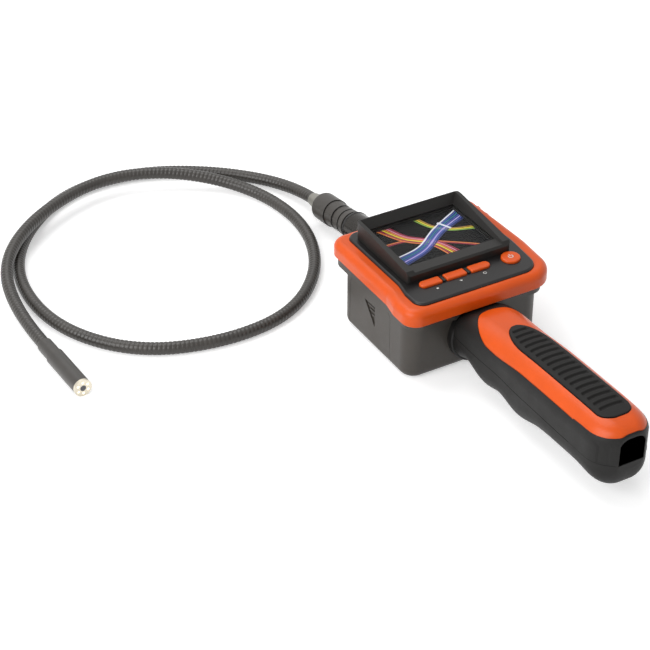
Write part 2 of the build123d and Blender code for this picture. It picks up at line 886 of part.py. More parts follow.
def handle_body(inset):
    """The handle's smooth body, shrunk all round by an inset."""
    with BuildPart(mode=Mode.PRIVATE) as body:
        for distance, half_width, low, high in handle_stations:
            squeeze = (handle_length - max(inset, 0.0)) / handle_length
            middle = Plane(
                origin=(0, collar_front - distance * squeeze, (low + high) / 2),
                x_dir=(1, 0, 0), z_dir=(0, -1, 0),
            )
            with BuildSketch(middle):
                corner = handle_corner * min(half_width, (high - low) / 2) - inset
                RectangleRounded(2 * (half_width - inset), high - low - 2 * inset, corner)
        loft()
    return body.part


def handle_strip(start, end, half_width, nose, end_round, foot, grow=0.0):
    """An upright block: from above, a long oval with a slender nose and a blunter far end."""
    shoulder = collar_front - start - nose
    tail = collar_front - end - grow
    with BuildPart(mode=Mode.PRIVATE) as strip:
        with BuildSketch(Plane.XY.offset(foot)):
            with Locations((0, shoulder)):
                Ellipse(half_width + grow, nose + grow)
            with Locations((0, (shoulder + tail + end_round) / 2)):
                Rectangle(2 * (half_width + grow), shoulder - tail - end_round)
            with Locations((0, tail + end_round)):
                RectangleRounded(2 * (half_width + grow), 2 * end_round, end_round - running_gap)
        extrude(amount=head_width)
    return strip.part


handle_outside = handle_body(0.0)
handle_under_trim = handle_body(handle_skin)
handle_inside = handle_body(handle_shell)
handle_swell = handle_body(-pad_proud)
trim_shape = (trim_start, trim_end, trim_half_width, trim_nose, trim_end_round)
pad_shape = (pad_start, pad_end, pad_half_width, pad_nose, pad_end_round)
trim_strip = handle_strip(*trim_shape, trim_foot)
trim_body_strip = handle_strip(*trim_shape, trim_foot + fit_gap, -fit_gap)
pad_strip = handle_strip(*pad_shape, trim_foot + fit_gap)
pad_hole_strip = handle_strip(*pad_shape, trim_foot, fit_gap)
handle_screws_xy = [(0, collar_front - station) for station in handle_screw_stations]
with BuildPart(mode=Mode.PRIVATE) as handle_columns:
    with BuildSketch():
        with Locations(*handle_screws_xy):
            Circle(handle_boss_radius)
    extrude(amount=head_width)
    add(handle_under_trim, mode=Mode.INTERSECT)

with BuildPart(mode=Mode.PRIVATE) as handle_casing:
    add(handle_outside)
    add(handle_inside, mode=Mode.SUBTRACT)
    add(handle_columns.part)
    with BuildSketch():
        with Locations(*handle_screws_xy):
            Circle(case_head_radius + fit_gap)
    extrude(amount=handle_screw_sink + case_head_height, mode=Mode.SUBTRACT)

with BuildPart() as handle_upper_shell:
    add(handle_casing.part)
    add((handle_outside - handle_under_trim) & trim_strip, mode=Mode.SUBTRACT)
    split(bisect_by=Plane.XY.offset(handle_seam), keep=Keep.TOP)
    with BuildSketch():
        with Locations(*handle_screws_xy):
            Circle(case_screw_radius)
    extrude(amount=handle_screw_sink + case_head_height + handle_screw_length, mode=Mode.SUBTRACT)
save(handle_upper_shell.part, "handle_upper_shell")

with BuildPart() as handle_lower_shell:
    add(handle_casing.part)
    split(bisect_by=Plane.XY.offset(handle_seam), keep=Keep.BOTTOM)
    with BuildSketch():
        with Locations(*handle_screws_xy):
            Circle(case_screw_radius + fit_gap)
    extrude(amount=handle_seam, mode=Mode.SUBTRACT)
save(handle_lower_shell.part, "handle_lower_shell")

with BuildPart() as handle_screws:
    with BuildSketch(Plane.XY.offset(handle_screw_sink)):
        with Locations(*handle_screws_xy):
            Circle(case_head_radius)
    extrude(amount=case_head_height)
    with BuildSketch(Plane.XY.offset(handle_screw_sink + case_head_height)):
        with Locations(*handle_screws_xy):
            Circle(case_screw_radius)
    extrude(amount=handle_screw_length - fit_gap)
save(handle_screws.part, "handle_screws")

with BuildPart() as handle_trim:
    add((handle_outside - handle_under_trim) & trim_body_strip)
    add(pad_hole_strip, mode=Mode.SUBTRACT)
save(handle_trim.part, "handle_trim")

with BuildPart() as grip_pad:
    add((handle_swell - handle_under_trim) & pad_strip)
save(grip_pad.part, "grip_pad")

# =====================================================================
# Video socket in the neck, its lock nut and pins
# =====================================================================
with BuildPart() as video_socket:
    with BuildSketch(socket_level(-2 * wall)):
        Circle(socket_radius)
    extrude(amount=socket_length + 2 * wall)
    with BuildSketch(socket_level(-2 * wall - socket_flange)):
        Circle(socket_flange_radius)
    extrude(amount=socket_flange)
    with BuildSketch(socket_level(socket_length - socket_bore_depth)):
        Circle(socket_bore_radius)
    extrude(amount=socket_bore_depth, mode=Mode.SUBTRACT)
save(video_socket.part, "video_socket")

with BuildPart() as socket_nut:
    with BuildSketch(socket_level(neck_length)):
        RegularPolygon(locknut_radius, 6)
        Circle(socket_radius, mode=Mode.SUBTRACT)
    extrude(amount=locknut_height)
save(socket_nut.part, "socket_nut")

with BuildPart() as socket_pins:
    with BuildSketch(socket_level(socket_length - socket_bore_depth)):
        with PolarLocations(pin_circle, pin_count):
            Circle(pin_radius)
    extrude(amount=pin_length)
save(socket_pins.part, "socket_pins")

# =====================================================================
# Coupling nut, turning on the socket; seal; plug; boot and ferrule
# =====================================================================
with BuildPart() as coupling_nut:
    with BuildSketch(socket_level(nut_start)):
        Circle(nut_radius)
    extrude(amount=nut_end - nut_start)
    fillet(coupling_nut.edges(), nut_edge_round)
    with BuildSketch(socket_level(nut_start)):
        Circle(socket_radius + running_gap)
    extrude(amount=nut_end - nut_lip - nut_start, mode=Mode.SUBTRACT)
    with BuildSketch(socket_level(nut_start)):
        Circle(plug_nose_radius + running_gap)
    extrude(amount=nut_end - nut_start, mode=Mode.SUBTRACT)
save(coupling_nut.part, "coupling_nut")

nose_start = socket_length - socket_bore_depth + fit_gap
with BuildPart() as plug_body:
    with BuildSketch(socket_level(nose_start)):
        Circle(plug_nose_radius)
    extrude(amount=plug_start - nose_start)
    with BuildSketch(socket_level(plug_start)):
        Circle(plug_radius + plug_flare)
    with BuildSketch(socket_level(plug_start + plug_length / 3)):
        Circle(plug_radius)
    with BuildSketch(socket_level(boot_start)):
        Circle(boot_radius - ferrule_lip)
    loft()
    with BuildSketch(socket_level(nose_start)):
        with PolarLocations(pin_circle, pin_count):
            Circle(pin_radius + fit_gap)
    extrude(amount=pin_length, mode=Mode.SUBTRACT)
save(plug_body.part, "plug_body")

with BuildPart() as plug_seal:
    with BuildSketch(socket_level(seal_start)):
        Circle(seal_radius)
        Circle(plug_nose_radius, mode=Mode.SUBTRACT)
    extrude(amount=seal_thickness)
save(plug_seal.part, "plug_seal")

with BuildPart() as strain_boot:
    with BuildSketch(socket_level(boot_start)):
        Circle(boot_radius)
    extrude(amount=boot_length)
    fillet(strain_boot.faces().sort_by(Axis.Y)[-1].edges(), boot_round)
save(strain_boot.part, "strain_boot")

with BuildPart() as cord_ferrule:
    with BuildSketch(socket_level(ferrule_start)):
        Circle(ferrule_radius)
    with BuildSketch(socket_level(cord_start)):
        Circle(cord_radius + ferrule_lip)
    loft()
save(cord_ferrule.part, "cord_ferrule")

# =====================================================================
# Gooseneck: a hollow tube, straight runs joined by arcs
# =====================================================================
exit_point = socket_level(cord_start).origin
lead_point = socket_level(cord_start + cord_lead).origin
route = [exit_point, lead_point] + [Vector(*point) for point in cord_points]
runs = [(route[i + 1] - route[i]).length for i in range(len(route) - 1)]
turns = [
    (route[i + 1] - route[i]).get_angle(route[i + 2] - route[i + 1]) for i in range(len(route) - 2)
]
bend_radii = [
    bend_share * min(runs[i], runs[i + 1]) / tan(radians(turns[i] / 2)) for i in range(len(turns))
]

with BuildPart() as gooseneck:
    with BuildLine() as cord_path:
        FilletPolyline(*route, radius=bend_radii)
    with BuildSketch(socket_level(cord_start)):
        Circle(cord_radius)
        Circle(cord_bore_radius, mode=Mode.SUBTRACT)
    sweep(path=cord_path.wire())
cord_length = cord_path.wire().length
print("gooseneck length", round(cord_length, 1))
section_volume = pi * (cord_radius**2 - cord_bore_radius**2) * cord_length
print("volume over section times length", round(gooseneck.part.volume / section_volume, 4))
save(gooseneck.part, "gooseneck")

# =====================================================================
# Camera head: sleeve, housing, bezel, window, lights, lens and sensor board
# =====================================================================
camera_plane = Plane(origin=route[-1], x_dir=(0, 0, 1), z_dir=route[-1] - route[-2])
housing_end = sleeve_length + camera_length
tip = housing_end + bezel_length


def camera_level(offset):
    """The plane square to the camera head at a distance from the gooseneck's end."""
    return camera_plane.offset(offset)


with BuildPart() as camera_sleeve:
    with BuildSketch(camera_level(0)):
        Circle(sleeve_radius)
    extrude(amount=sleeve_length)
    fillet(camera_sleeve.edges(), sleeve_edge_round)
save(camera_sleeve.part, "camera_sleeve")

with BuildPart() as camera_housing:
    with BuildSketch(camera_level(sleeve_length)):
        Circle(camera_radius)
    extrude(amount=camera_length)
    with BuildSketch(camera_level(sleeve_length + 2 * camera_wall)):
        Circle(camera_radius - camera_wall)
    extrude(amount=camera_length, mode=Mode.SUBTRACT)
save(camera_housing.part, "camera_housing")

with BuildPart() as lens_bezel:
    with BuildSketch(camera_level(housing_end)):
        Circle(camera_radius)
        Circle(lens_radius, mode=Mode.SUBTRACT)
        with PolarLocations(led_circle, led_count):
            Circle(led_radius, mode=Mode.SUBTRACT)
    extrude(amount=bezel_length)
save(lens_bezel.part, "lens_bezel")

with BuildPart() as lens_window:
    with BuildSketch(camera_level(tip - lens_thickness)):
        Circle(lens_radius)
    extrude(amount=lens_thickness)
save(lens_window.part, "lens_window")

with BuildPart() as camera_leds:
    with BuildSketch(camera_level(tip - led_depth - fit_gap)):
        with PolarLocations(led_circle, led_count):
            Circle(led_radius)
    extrude(amount=led_depth)
save(camera_leds.part, "camera_leds")

with BuildPart() as lens_barrel:
    with BuildSketch(camera_level(housing_end - barrel_length)):
        Circle(barrel_radius)
    extrude(amount=barrel_length)
save(lens_barrel.part, "lens_barrel")

with BuildPart() as sensor_board:
    with BuildSketch(camera_level(housing_end - barrel_length - sensor_board_thickness)):
        Circle(camera_radius - camera_wall)
    extrude(amount=sensor_board_thickness)
save(sensor_board.part, "sensor_board")
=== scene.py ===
"""Looks of a handheld inspection camera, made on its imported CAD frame. Metres, +Z up."""
import json
import math

import bmesh
import bpy
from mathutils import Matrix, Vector
from mathutils.bvhtree import BVHTree


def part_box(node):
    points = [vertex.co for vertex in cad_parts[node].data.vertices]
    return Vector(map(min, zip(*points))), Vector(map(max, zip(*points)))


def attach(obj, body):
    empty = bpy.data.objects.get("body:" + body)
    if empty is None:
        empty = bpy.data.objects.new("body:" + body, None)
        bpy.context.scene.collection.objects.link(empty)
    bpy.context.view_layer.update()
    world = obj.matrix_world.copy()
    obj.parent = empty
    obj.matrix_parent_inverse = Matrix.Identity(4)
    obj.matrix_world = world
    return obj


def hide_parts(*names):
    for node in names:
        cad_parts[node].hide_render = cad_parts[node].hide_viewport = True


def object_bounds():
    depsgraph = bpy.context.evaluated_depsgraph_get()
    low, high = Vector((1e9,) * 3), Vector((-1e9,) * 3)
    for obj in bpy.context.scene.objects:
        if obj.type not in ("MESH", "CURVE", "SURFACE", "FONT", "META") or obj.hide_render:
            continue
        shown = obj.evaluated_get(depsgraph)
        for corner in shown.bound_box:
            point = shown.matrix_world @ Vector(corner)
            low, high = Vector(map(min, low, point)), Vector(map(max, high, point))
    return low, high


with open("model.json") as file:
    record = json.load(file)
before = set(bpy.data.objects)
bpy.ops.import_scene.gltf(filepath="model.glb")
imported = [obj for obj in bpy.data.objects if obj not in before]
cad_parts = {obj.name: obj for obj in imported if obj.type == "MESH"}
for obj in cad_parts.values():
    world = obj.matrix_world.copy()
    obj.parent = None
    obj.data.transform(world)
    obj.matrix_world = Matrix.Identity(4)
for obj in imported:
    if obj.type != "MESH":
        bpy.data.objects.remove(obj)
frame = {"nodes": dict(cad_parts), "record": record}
cad_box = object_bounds()
MM = 0.001

# ---------------------------------------------------------------- camera
VIEW_AZIMUTH = math.radians(-29.721)
VIEW_ELEVATION = math.radians(34.961)
VIEW_DISTANCE = 1.01842
VIEW_TARGET = Vector((-0.04998, 0.03112, 0.0))

back = Vector((
    math.sin(VIEW_AZIMUTH) * math.cos(VIEW_ELEVATION),
    -math.cos(VIEW_AZIMUTH) * math.cos(VIEW_ELEVATION),
    math.sin(VIEW_ELEVATION),
))
camera = bpy.data.objects.new("camera", bpy.data.cameras.new("camera"))
camera.data.lens = 108.7
camera.data.sensor_width = 36.0
camera.location = VIEW_TARGET + back * VIEW_DISTANCE
camera.rotation_euler = back.to_track_quat("Z", "Y").to_euler()
bpy.context.collection.objects.link(camera)
bpy.context.scene.camera = camera


# ---------------------------------------------------------------- materials
def nodes_of(material):
    material.use_nodes = True
    tree = material.node_tree
    return tree, tree.nodes["Principled BSDF"]


def grained(name, colour, rough, grain=0.0006, bump=0.25, vary=0.12, coat=0.0, metal=0.0, spread=0.06,
            specular=0.5):
    """Plastic, rubber or metal: patchy colour, uneven gloss and a fine moulded grain."""
    material = bpy.data.materials.new(name)
    tree, shader = nodes_of(material)
    shader.inputs["Metallic"].default_value = metal
    shader.inputs["Coat Weight"].default_value = coat
    shader.inputs["Coat Roughness"].default_value = 0.12
    shader.inputs["Specular IOR Level"].default_value = specular
    place = tree.nodes.new("ShaderNodeTexCoord")
    patch = tree.nodes.new("ShaderNodeTexNoise")
    patch.inputs["Scale"].default_value = 70.0
    patch.inputs["Detail"].default_value = 5.0
    patch.inputs["Roughness"].default_value = 0.65
    tree.links.new(place.outputs["Object"], patch.inputs["Vector"])
    tint = tree.nodes.new("ShaderNodeValToRGB")
    tint.color_ramp.elements[0].position = 0.3
    tint.color_ramp.elements[1].position = 0.7
    tint.color_ramp.elements[0].color = [c * (1 - vary) for c in colour] + [1]
    tint.color_ramp.elements[1].color = [min(1.0, c * (1 + vary)) for c in colour] + [1]
    tree.links.new(patch.outputs["Fac"], tint.inputs["Fac"])
    tree.links.new(tint.outputs["Color"], shader.inputs["Base Color"])
    gloss = tree.nodes.new("ShaderNodeMapRange")
    gloss.inputs["From Min"].default_value = 0.3
    gloss.inputs["From Max"].default_value = 0.7
    gloss.inputs["To Min"].default_value = rough - spread
    gloss.inputs["To Max"].default_value = rough + spread
    tree.links.new(patch.outputs["Fac"], gloss.inputs["Value"])
    tree.links.new(gloss.outputs["Result"], shader.inputs["Roughness"])
    pits = tree.nodes.new("ShaderNodeTexNoise")
    pits.inputs["Scale"].default_value = 1.0 / grain
    pits.inputs["Detail"].default_value = 2.0
    tree.links.new(place.outputs["Object"], pits.inputs["Vector"])
    relief = tree.nodes.new("ShaderNodeBump")
    relief.inputs["Strength"].default_value = bump
    relief.inputs["Distance"].default_value = grain * 0.25
    tree.links.new(pits.outputs["Fac"], relief.inputs["Height"])
    tree.links.new(relief.outputs["Normal"], shader.inputs["Normal"])
    return material


def glowing(name, colour, strength):
    """A lit surface, slightly uneven."""
    material = grained(name, colour, 0.3, grain=0.0004, bump=0.05, vary=0.1)
    tree, shader = nodes_of(material)
    shader.inputs["Emission Color"].default_value = [*colour, 1]
    shader.inputs["Emission Strength"].default_value = strength
    return material


def clear(name, tint, rough):
    """Clear moulded window or lens, with the slight haze of a hard coat."""
    material = grained(name, tint, rough, grain=0.002, bump=0.0, vary=0.02, spread=0.01, specular=0.3)
    tree, shader = nodes_of(material)
    shader.inputs["Alpha"].default_value = 0.12
    return material


orange = grained(
    "orange_plastic", (0.66, 0.080, 0.004), 0.36,
    grain=0.0005, bump=0.18, vary=0.05, coat=0.05, specular=0.3,
)
orange_soft = grained(
    "orange_rubber", (0.62, 0.068, 0.005), 0.55,
    grain=0.0004, bump=0.35, vary=0.06, specular=0.3,
)
shell_grey = grained("shell_plastic", (0.040, 0.034, 0.028), 0.46, grain=0.0005, bump=0.4, vary=0.12)
hood_grey = grained(
    "hood_plastic", (0.011, 0.010, 0.009), 0.46,
    grain=0.0005, bump=0.35, vary=0.12, specular=0.3,
)
panel_black = grained(
    "panel_plastic", (0.008, 0.007, 0.007), 0.34,
    grain=0.0004, bump=0.2, vary=0.12, coat=0.1, specular=0.3,
)
handle_black = grained(
    "handle_plastic", (0.006, 0.0055, 0.005), 0.55,
    grain=0.0004, bump=0.35, vary=0.15, specular=0.3,
)
pad_rubber = grained(
    "pad_rubber", (0.006, 0.0055, 0.005), 0.65,
    grain=0.0003, bump=0.5, vary=0.18, specular=0.25,
)
plug_grey = grained("plug_plastic", (0.042, 0.037, 0.032), 0.44, grain=0.0005, bump=0.3, vary=0.15)
ferrule_grey = grained(
    "ferrule_metal", (0.26, 0.25, 0.22), 0.42,
    grain=0.0004, bump=0.2, vary=0.1, metal=0.6,
)
nut_black = grained("nut_metal", (0.05, 0.046, 0.042), 0.28, grain=0.0006, bump=0.08, vary=0.15, metal=0.9)
socket_black = grained(
    "socket_metal", (0.10, 0.10, 0.10), 0.38,
    grain=0.0005, bump=0.15, vary=0.15, metal=0.9,
)
goose_black = grained("gooseneck_coating", (0.032, 0.028, 0.024), 0.34, grain=0.0005, bump=0.2, vary=0.25)
barrel_black = grained(
    "camera_barrel", (0.038, 0.034, 0.030), 0.38,
    grain=0.0005, bump=0.15, vary=0.15, coat=0.1,
)
bezel_metal = grained("bezel_metal", (0.62, 0.57, 0.47), 0.28, grain=0.0003, bump=0.1, vary=0.1, metal=0.9)
foam = grained("foam", (0.03, 0.03, 0.03), 0.9, grain=0.0007, bump=0.8, vary=0.3)
circuit = grained("circuit_board", (0.012, 0.10, 0.04), 0.4, grain=0.0008, bump=0.2, vary=0.2)
plated = grained("plated_metal", (0.55, 0.55, 0.56), 0.3, grain=0.0005, bump=0.1, vary=0.1, metal=1.0)
brass = grained("pin_brass", (0.78, 0.56, 0.2), 0.25, grain=0.0004, bump=0.1, vary=0.1, metal=1.0)
cell_wrap = grained("cell_wrap", (0.05, 0.055, 0.07), 0.3, grain=0.001, bump=0.08, vary=0.2, coat=0.3)
screen_dark = grained(
    "display", (0.004, 0.004, 0.004), 0.35,
    grain=0.0006, bump=0.0, vary=0.2, specular=0.1,
)
window_clear = clear("clear_window", (0.02, 0.021, 0.022), 0.03)
seam_dark = grained(
    "seam_shadow", (0.003, 0.003, 0.003), 0.8,
    grain=0.0005, bump=0.1, vary=0.2, specular=0.1,
)
mark_pale = grained("mark_ink", (0.62, 0.62, 0.60), 0.5, grain=0.0003, bump=0.2, vary=0.08)
led_lit = glowing("led", (1.0, 0.93, 0.72), 0.9)
lens_dark = grained("lens_coating", (0.02, 0.02, 0.035), 0.08, grain=0.001, bump=0.02, vary=0.2, coat=0.6)

SLOT_LOOKS = {
    "shell_plastic": shell_grey, "orange_plastic": orange, "black_plastic": panel_black,
    "hood_plastic": hood_grey, "orange_rubber": orange_soft, "black_rubber": pad_rubber,
    "clear_window": window_clear, "display": screen_dark, "foam": foam, "circuit_board": circuit,
    "switch_metal": plated, "screw_steel": plated, "cell_wrap": cell_wrap, "contact_metal": plated,
    "socket_metal": socket_black, "pin_brass": brass, "nut_metal": nut_black, "plug_plastic": plug_grey,
    "ferrule_metal": ferrule_grey, "gooseneck_metal": goose_black, "camera_metal": barrel_black,
    "bezel_metal": bezel_metal, "led": led_lit,
}
NODE_LOOKS = {
    "handle_upper_shell": handle_black, "handle_lower_shell": handle_black, "handle_collar": handle_black,
    "lens_window": lens_dark,
}
for part in frame["record"]["subparts"]:
    cad_mesh = frame["nodes"][part["node"]].data
    cad_mesh.materials.clear()
    cad_mesh.materials.append(NODE_LOOKS.get(part["node"], SLOT_LOOKS[part["material_slot"]]))


# ---------------------------------------------------------------- mesh helpers
def piece(name, verts, faces, materials, body="case", face_looks=None):
    """A smooth-shaded mesh piece, riding on a CAD body."""
    mesh = bpy.data.meshes.new(name)
    mesh.from_pydata([tuple(v) for v in verts], [], faces)
    for look in materials:
        mesh.materials.append(look)
    for index, polygon in enumerate(mesh.polygons):
        polygon.use_smooth = True
        if face_looks:
            polygon.material_index = face_looks[index]
    mesh.validate()
    obj = bpy.data.objects.new(name, mesh)
    bpy.context.collection.objects.link(obj)
    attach(obj, body)
    return obj


def grid_faces(rows, columns, closed=False):
    """Quads between rows of points laid one after the other."""
    faces = []
    for i in range(rows - 1):
        for j in range(columns if closed else columns - 1):
            k = (j + 1) % columns
            faces.append((i * columns + j, i * columns + k, (i + 1) * columns + k, (i + 1) * columns + j))
    return faces


def lathe(name, profile, origin, axis, material, body="case", segments=64):
    """A piece turned about an axis. The profile is (distance along the axis, radius)."""
    axis = axis.normalized()
    side = axis.orthogonal().normalized()
    other = axis.cross(side)
    verts = []
    for along, radius in profile:
        for j in range(segments):
            turn = 2 * math.pi * j / segments
            verts.append(origin + axis * along + (side * math.cos(turn) + other * math.sin(turn)) * radius)
    return piece(name, verts, grid_faces(len(profile), segments, closed=True), [material], body)


# ---------------------------------------------------------------- gooseneck
GOOSE_RADIUS = 3.4 * MM
REST = 3.45
ROUTE = [
    (0, 131.754, 8.204), (0, 157.468, 4.361),
    (-30, 194, REST), (-72.5, 217, REST), (-117.5, 214.5, REST), (-155.5, 183.5, REST), (-175.5, 143, REST),
    (-174, 92.5, REST), (-147.5, 53.5, REST), (-104, 39, REST), (-60.5, 44.5, REST), (-27, 77, REST),
    (-12.5, 122, REST), (-21.5, 169, REST), (-58, 196.5, 10.9), (-99, 209, 10.5), (-147.5, 186, 11.6),
    (-178.5, 154, 9.6), (-187, 114, 4.75), (-185.5, 80.5, 4.75),
]
RIB_PITCH = 2.3 * MM
RIB_STEPS = 7
RIB_DEPTH = 0.34 * MM


def spline_points(name, points):
    """The smooth line of a NURBS spline with these control points."""
    curve = bpy.data.curves.new(name, "CURVE")
    curve.dimensions = "3D"
    spline = curve.splines.new("NURBS")
    spline.points.add(len(points) - 1)
    for target, point in zip(spline.points, points):
        target.co = (*[c * MM for c in point], 1.0)
    spline.order_u = 3
    spline.use_endpoint_u = True
    spline.resolution_u = 24
    line = bpy.data.objects.new(name, curve)
    bpy.context.collection.objects.link(line)
    bpy.context.view_layer.update()
    sampled = bpy.data.meshes.new_from_object(line)
    found = [v.co.copy() for v in sampled.vertices]
    bpy.data.objects.remove(line)
    return found


def along(points, spacing):
    """Evenly spaced points on a line, with its direction at each."""
    reach = [0.0]
    for a, b in zip(points, points[1:]):
        reach.append(reach[-1] + (b - a).length)
    steps = round(reach[-1] / spacing)
    found = []
    index = 0
    for step in range(steps + 1):
        want = reach[-1] * step / steps
        while index < len(points) - 2 and reach[index + 1] < want:
            index += 1
        share = (want - reach[index]) / (reach[index + 1] - reach[index])
        found.append(points[index].lerp(points[index + 1], share))
    ways = [(found[min(i + 1, steps)] - found[max(i - 1, 0)]).normalized() for i in range(steps + 1)]
    return found, ways, reach[-1]


goose_line = spline_points("gooseneck_line", ROUTE)
goose_points, goose_ways, _ = along(goose_line, RIB_PITCH / RIB_STEPS)
GOOSE_SIDES = 28
goose_verts = []
side = Vector((0, 0, 1)).cross(goose_ways[0]).normalized()
for step, (point, way) in enumerate(zip(goose_points, goose_ways)):
    side = (side - way * side.dot(way)).normalized()
    other = way.cross(side)
    for j in range(GOOSE_SIDES):
        turn = 2 * math.pi * j / GOOSE_SIDES
        phase = (step / RIB_STEPS + j / GOOSE_SIDES) % 1.0
        crest = math.sqrt(max(0.0, 1.0 - (2 * phase - 1) ** 2))
        radius = GOOSE_RADIUS - RIB_DEPTH * (1.0 - crest)
        goose_verts.append(point + (side * math.cos(turn) + other * math.sin(turn)) * radius)
gooseneck = piece(
    "gooseneck_tube", goose_verts, grid_faces(len(goose_points), GOOSE_SIDES, closed=True), [goose_black]
)
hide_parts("gooseneck")

# ---------------------------------------------------------------- grip pad with its grooves
pad_low, pad_high = [Vector(c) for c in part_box("grip_pad")]
pad_tree = BVHTree.FromObject(frame["nodes"]["grip_pad"], bpy.context.evaluated_depsgraph_get())
PAD_GROOVES = 17
PAD_MARGIN = 4.2 * MM
GROOVE_DEPTH = 1.0 * MM
GROOVE_BOW = 1.2 * MM
PAD_EDGE = 0.5 * MM
PAD_NOSE = 21.0 * MM
PAD_END_ROUND = 7.0 * MM
pad_half = (pad_high.x - pad_low.x) / 2
pad_mid_y = (pad_high.y + pad_low.y) / 2
pad_length = pad_high.y - pad_low.y


def pad_width(y):
    """Half the pad's width at a place along it: a slender nose to the head, a blunter far end."""
    beyond = y - (pad_high.y - PAD_NOSE)
    if beyond > 0:
        return pad_half * math.sqrt(max(0.0, 1 - (beyond / PAD_NOSE) ** 2))
    beyond = pad_low.y + PAD_END_ROUND - y
    if beyond > 0:
        return pad_half - PAD_END_ROUND + math.sqrt(max(0.0, PAD_END_ROUND**2 - beyond**2))
    return pad_half


def pad_top(x, y):
    hit = pad_tree.ray_cast(Vector((x, y, 0.1)), Vector((0, 0, -1)))[0]
    return hit.z if hit else None


def groove_depth(x, y):
    """How far a groove sinks below the pad at a point."""
    pitch = (pad_length - 2 * PAD_MARGIN) / PAD_GROOVES
    bowed = y - GROOVE_BOW * (1 - (x / pad_half) ** 2) - (pad_low.y + PAD_MARGIN)
    if not 0 < bowed < PAD_GROOVES * pitch:
        return 0.0
    phase = abs((bowed / pitch) % 1.0 - 0.5) * 2
    across = min(1.0, max(0.0, (0.52 - phase) / 0.26))
    middle = pad_low.y + PAD_MARGIN + (math.floor(bowed / pitch) + 0.5) * pitch
    room = pad_width(middle) - 2.1 * MM
    ends = min(1.0, max(0.0, (room - abs(x)) / (0.7 * MM)))
    return GROOVE_DEPTH * across * ends


pad_rows = 321
pad_columns = 61
pad_verts = []
for i in range(pad_rows):
    turn = math.pi * i / (pad_rows - 1)
    reach = (i / (pad_rows - 1)) * 2 - 1
    y = pad_mid_y + (pad_length / 2 - 0.02 * MM) * reach
    half = pad_width(y)
    for j in range(pad_columns):
        share = j / (pad_columns - 1) * 2 - 1
        x = half * share
        inner_x = (half - min(half, 0.25 * MM)) * share
        z = pad_top(inner_x, pad_mid_y + (y - pad_mid_y) * 0.995)
        z = pad_high.z - 3 * MM if z is None else z
        rim = min(half - abs(x), PAD_EDGE, pad_length / 2 - abs(y - pad_mid_y))
        drop = PAD_EDGE * (1 - math.sqrt(max(0.0, 1 - (1 - rim / PAD_EDGE) ** 2)))
        pad_verts.append((x, y, z - drop - groove_depth(x, y)))
pad_faces = grid_faces(pad_rows, pad_columns)
grip = piece("grip_pad_ribbed", pad_verts, pad_faces, [pad_rubber])
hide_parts("grip_pad")

# ---------------------------------------------------------------- screen picture: plain coloured wires
screen_low, screen_high = [Vector(c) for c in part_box("screen_gasket")]
lcd_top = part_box("lcd_module")[1][2]
SCREEN_HALF = (24.4, 18.25)
screen_mid = ((screen_low.x + screen_high.x) / 2, (screen_low.y + screen_high.y) / 2)
WIRE_COLOURS = {
    "blue": (0.05, 0.09, 0.42), "lilac": (0.42, 0.38, 0.80), "white": (0.80, 0.82, 0.90),
    "teal": (0.02, 0.20, 0.30), "orange": (0.80, 0.22, 0.05), "red": (0.36, 0.02, 0.06),
    "yellow": (0.88, 0.74, 0.05), "green": (0.25, 0.48, 0.08), "pink": (0.72, 0.25, 0.36),
    "gold": (0.45, 0.24, 0.06), "navy": (0.02, 0.035, 0.17),
}
WIRE_GLOW = 0.3
wire_names = list(WIRE_COLOURS)
wire_looks = [glowing(f"wire_{n}", WIRE_COLOURS[n], WIRE_GLOW) for n in wire_names]
# a made-up view, in millimetres: the pitch of a bundle's wires, their colours side by side,
# and the points that its middle runs through
BUNDLES = [
    (0.9, ("red", "orange"), (-26, 5), (-10, 3), (8, -9), (22, -20)),
    (1.0, ("green", "yellow", "gold"), (2, 20), (6, 9), (14, 2), (26, -2)),
    (1.0, ("orange", "red", "yellow", "orange", "pink", "red"), (-18, 20), (-12, 6), (-1, -5), (4, -20)),
    (1.0, ("navy", "blue", "lilac", "blue", "teal", "blue", "white"), (-26, -12), (-9, -7), (7, 4), (26, 13)),
    (1.6, ("white",), (13.8, 3), (10.2, 10.6)),
]
WIRE_STEPS = 12
WIRE_FILL = 0.85
WIRE_ARCH = 0.04
WIRE_FAN = 0.35
BUNDLE_LIFT = 0.06


def through(points, steps):
    """A smooth line through points on the screen."""
    spots = [Vector((*p, 0)) for p in points]
    spots = [spots[0] * 2 - spots[1], *spots, spots[-1] * 2 - spots[-2]]
    line = []
    for a, b, c, d in zip(spots, spots[1:], spots[2:], spots[3:]):
        for k in range(steps):
            t = k / steps
            line.append(0.5 * (2 * b + (c - a) * t + (2 * a - 5 * b + 4 * c - d) * t * t
                               + (3 * b - 3 * c + d - a) * t**3))
    line.append(spots[-2])
    return line


def on_screen(spot, level):
    """A point of the picture, kept inside the lit area."""
    x = max(-SCREEN_HALF[0], min(SCREEN_HALF[0], spot.x))
    y = max(-SCREEN_HALF[1], min(SCREEN_HALF[1], spot.y))
    return (screen_mid[0] + x * MM, screen_mid[1] + y * MM, lcd_top + level * MM)


picture_verts = []
picture_faces = []
picture_looks = []


